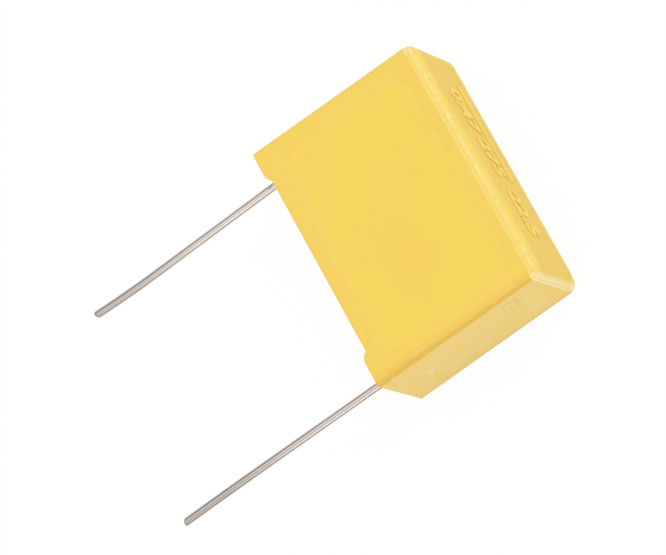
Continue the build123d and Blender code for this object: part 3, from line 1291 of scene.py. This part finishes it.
def make_resin(settings, case_settings, lead_settings):
    """Cast resin that fills the cavity, with a meniscus at the walls and the leads."""
    rise = settings.meniscus
    low = settings.level - rise
    resin = core_block("cast_resin", case_settings, low)
    with editing(resin):
        pick(resin, "FACE", lambda f: max(v.co.y for v in f.verts) < low + CLOSE)
        bpy.ops.mesh.inset(thickness=settings.creep, depth=0)
        turns = [n / MENISCUS_STEPS * pi / 2 for n in range(MENISCUS_STEPS + 1)]
        for first, second in zip(turns, turns[1:]):
            bpy.ops.mesh.inset(
                thickness=rise * (cos(first) - cos(second)),
                depth=-rise * (sin(second) - sin(first)),
            )
    inner = lead_settings.diameter / 2 + settings.creep
    for side, (corner, other) in LEAD_BOXES.items():
        _, _, shift = lead_bend(side, lead_settings)
        x = (corner.x + other.x) / 2 + COLLAR_FOLLOW * shift
        collar = add_primitive(
            "collar",
            bpy.ops.mesh.primitive_cone_add,
            vertices=32,
            radius1=inner,
            radius2=inner + rise,
            depth=rise + COLLAR_SINK,
            location=(x, settings.level - rise / 2 + COLLAR_SINK / 2, 0),
            rotation=(-pi / 2, 0, 0),
        )
        combine(resin, collar, "UNION")
    smooth_finish(resin, limit=40)
    finish_piece(resin, resin_material(settings), "resin", "potting_resin")


def dress_node(name, material):
    """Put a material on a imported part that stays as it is."""
    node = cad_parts[name]
    for index in range(len(node.data.materials)):
        node.data.materials[index] = material
    if not node.data.materials:
        node.data.materials.append(material)


# --- stage

SENSOR_WIDTH = 36
CLIP_START, CLIP_END = 0.01, 20
FLOOR_SINK = 0.02 * MM  # between the part's back face and the floor
FLOOR_GLOW = 0.96  # share of plain white in what the camera sees of the floor
LAMP_DISTANCE = 0.6
SOFTBOXES = {  # azimuth and elevation in degrees, then width and height
    "key": (0, 70, 2.0, 0.6),
    "rim": (-154, 38, 0.15, 0.56),
    "fill": (112, 24, 0.4, 0.3),
    "glint": (71, 19, 0.25, 0.35),
}


def face_part(thing, azimuth, elevation, distance, aim=(0, 0, 0), roll=0):
    """Make a camera or lamp look at a point from an azimuth and elevation."""
    flat = cos(elevation)
    back = Vector((sin(azimuth) * flat, -cos(azimuth) * flat, sin(elevation)))
    thing.location = Vector(aim) + back * distance
    upright = (-back).to_track_quat("-Z", "Y").to_matrix()
    thing.rotation_euler = (upright @ Matrix.Rotation(roll, 3, "Z")).to_euler()


def add_camera(settings):
    """Camera at the named azimuth, elevation, roll and distance."""
    bpy.ops.object.select_all(action="DESELECT")
    bpy.ops.object.camera_add()
    camera = bpy.context.object
    camera.name = "studio_camera"
    turns = settings.azimuth, settings.elevation
    face_part(camera, *turns, settings.distance, settings.aim, settings.roll)
    camera.data.lens, camera.data.sensor_width = settings.lens, SENSOR_WIDTH
    camera.data.clip_start, camera.data.clip_end = CLIP_START, CLIP_END
    bpy.context.scene.camera = camera


def add_softbox(name, azimuth, elevation, width, height, brightness):
    """Area lamp that faces the part. Brightness 1 is as bright as a white surface."""
    bpy.ops.object.select_all(action="DESELECT")
    bpy.ops.object.light_add(type="AREA")
    lamp = bpy.context.object
    lamp.name = name
    face_part(lamp, radians(azimuth), radians(elevation), LAMP_DISTANCE)
    lamp.data.shape = "RECTANGLE"
    lamp.data.size, lamp.data.size_y = width, height
    lamp.data.energy = brightness * pi * width * height


def floor_material(settings):
    """Pale floor that the camera sees as white, and that keeps the part's shadow."""
    material = bpy.data.materials.new("pale_floor")
    material.use_nodes = True
    nodes = material.node_tree.nodes
    nodes.remove(nodes["Principled BSDF"])
    paint = nodes.new("ShaderNodeBsdfDiffuse")
    feed(paint.inputs["Color"], settings.floor)
    glow = nodes.new("ShaderNodeEmission")
    feed(glow.inputs["Color"], (1, 1, 1))
    feed(glow.inputs["Strength"], 1.0)
    rays = results(nodes.new("ShaderNodeLightPath"))
    seen = most(rays["Is Glossy Ray"], rays["Is Transmission Ray"])
    seen = most(rays["Is Camera Ray"], seen) * FLOOR_GLOW
    below = results(nodes.new("ShaderNodeNewGeometry"))["Backfacing"]

    def mix(amount, first, second):
        inputs = {0: amount, 1: Value(first.outputs[0]), 2: Value(second.outputs[0])}
        return add_node("ShaderNodeMixShader", inputs)

    sheet = mix(below, mix(seen, paint, glow), nodes.new("ShaderNodeBsdfTransparent"))
    feed(nodes["Material Output"].inputs["Surface"], Value(sheet.outputs[0]))
    return material


def add_floor(settings):
    """Round floor under the part's back face."""
    floor = add_primitive(
        "floor",
        bpy.ops.mesh.primitive_circle_add,
        vertices=96,
        radius=settings.floor_radius,
        fill_type="NGON",
        location=(0, 0, CAD_BOX[0].z - FLOOR_SINK),
    )
    floor.data.materials.append(floor_material(settings))


def add_world(settings):
    """Plain sky."""
    world = bpy.data.worlds.new("studio")
    bpy.context.scene.world = world
    world.use_nodes = True
    sky = world.node_tree.nodes["Background"].inputs
    sky["Strength"].default_value = settings.sky
    sky["Color"].default_value = (1, 1, 1, 1)


def make_stage(settings):
    """Camera, floor, sky and lamps."""
    add_camera(settings)
    add_floor(settings)
    add_world(settings)
    for name, numbers in SOFTBOXES.items():
        add_softbox(f"{name}_softbox", *numbers, getattr(settings, name))
    bpy.context.scene.view_settings.view_transform = "Standard"


# --- add-on


class CAPACITOR_OT_stage(bpy.types.Operator):
    """Set up the camera, the floor and the lamps"""

    bl_idname = "capacitor.stage"
    bl_label = "Stage"

    def execute(self, context):
        make_stage(context.scene.capacitor_stage)
        return {"FINISHED"}


class CAPACITOR_OT_case(bpy.types.Operator):
    """Build the moulded case"""

    bl_idname = "capacitor.case"
    bl_label = "Moulded case"

    def execute(self, context):
        make_case(context.scene.capacitor_case)
        return {"FINISHED"}


class CAPACITOR_OT_figures(bpy.types.Operator):
    """Build the raised figures on the closed top"""

    bl_idname = "capacitor.figures"
    bl_label = "Raised figures"

    def execute(self, context):
        plastic = bpy.data.materials["moulded_polyester"]
        make_figures(context.scene.capacitor_figures, plastic)
        return {"FINISHED"}


class CAPACITOR_OT_leads(bpy.types.Operator):
    """Build the two tinned leads"""

    bl_idname = "capacitor.leads"
    bl_label = "Leads"

    def execute(self, context):
        for side, (low, high) in LEAD_BOXES.items():
            make_lead(side, low, high, context.scene.capacitor_leads)
        return {"FINISHED"}


class CAPACITOR_OT_resin(bpy.types.Operator):
    """Build the cast resin"""

    bl_idname = "capacitor.resin"
    bl_label = "Cast resin"

    def execute(self, context):
        scene = context.scene
        make_resin(scene.capacitor_resin, scene.capacitor_case, scene.capacitor_leads)
        return {"FINISHED"}


class CAPACITOR_OT_winding(bpy.types.Operator):
    """Dress the film roll and its sprayed contacts"""

    bl_idname = "capacitor.winding"
    bl_label = "Film roll and contacts"

    def execute(self, context):
        dress_node("film_roll", film_material())
        zinc = spray_material()
        for side in ("left", "right"):
            dress_node(f"end_spray_{side}", zinc)
        return {"FINISHED"}


OPERATORS = (
    CAPACITOR_OT_stage,
    CAPACITOR_OT_case,
    CAPACITOR_OT_figures,
    CAPACITOR_OT_leads,
    CAPACITOR_OT_resin,
    CAPACITOR_OT_winding,
)
SETTINGS = {
    "capacitor_stage": CapacitorStageSettings,
    "capacitor_case": CapacitorCaseSettings,
    "capacitor_figures": CapacitorFigureSettings,
    "capacitor_leads": CapacitorLeadSettings,
    "capacitor_resin": CapacitorResinSettings,
}


class CAPACITOR_PT_panel(bpy.types.Panel):
    """Lists the capacitor's pieces and their settings"""

    bl_idname = "CAPACITOR_PT_panel"
    bl_label = "Box film capacitor"
    bl_space_type = "VIEW_3D"
    bl_region_type = "UI"
    bl_category = "Capacitor"

    def draw(self, context):
        for operator in OPERATORS:
            self.layout.operator(operator.bl_idname)
        for name, group in SETTINGS.items():
            box = self.layout.box()
            box.label(text=name.replace("_", " ").capitalize())
            for setting in group.__annotations__:
                box.prop(getattr(context.scene, name), setting)


CLASSES = (*SETTINGS.values(), *OPERATORS, CAPACITOR_PT_panel)


def register():
    """Register the classes and hang the settings on the scene."""
    for cls in CLASSES:
        bpy.utils.register_class(cls)
    for name, group in SETTINGS.items():
        setattr(bpy.types.Scene, name, PointerProperty(type=group))


def unregister():
    """Take the settings and the classes away again."""
    for name in SETTINGS:
        delattr(bpy.types.Scene, name)
    for cls in reversed(CLASSES):
        bpy.utils.unregister_class(cls)


def main():
    """Build everything in order."""
    register()
    bpy.ops.capacitor.stage()
    bpy.ops.capacitor.case()
    bpy.ops.capacitor.figures()
    bpy.ops.capacitor.leads()
    bpy.ops.capacitor.resin()
    bpy.ops.capacitor.winding()


if __name__ == "__main__":
    main()
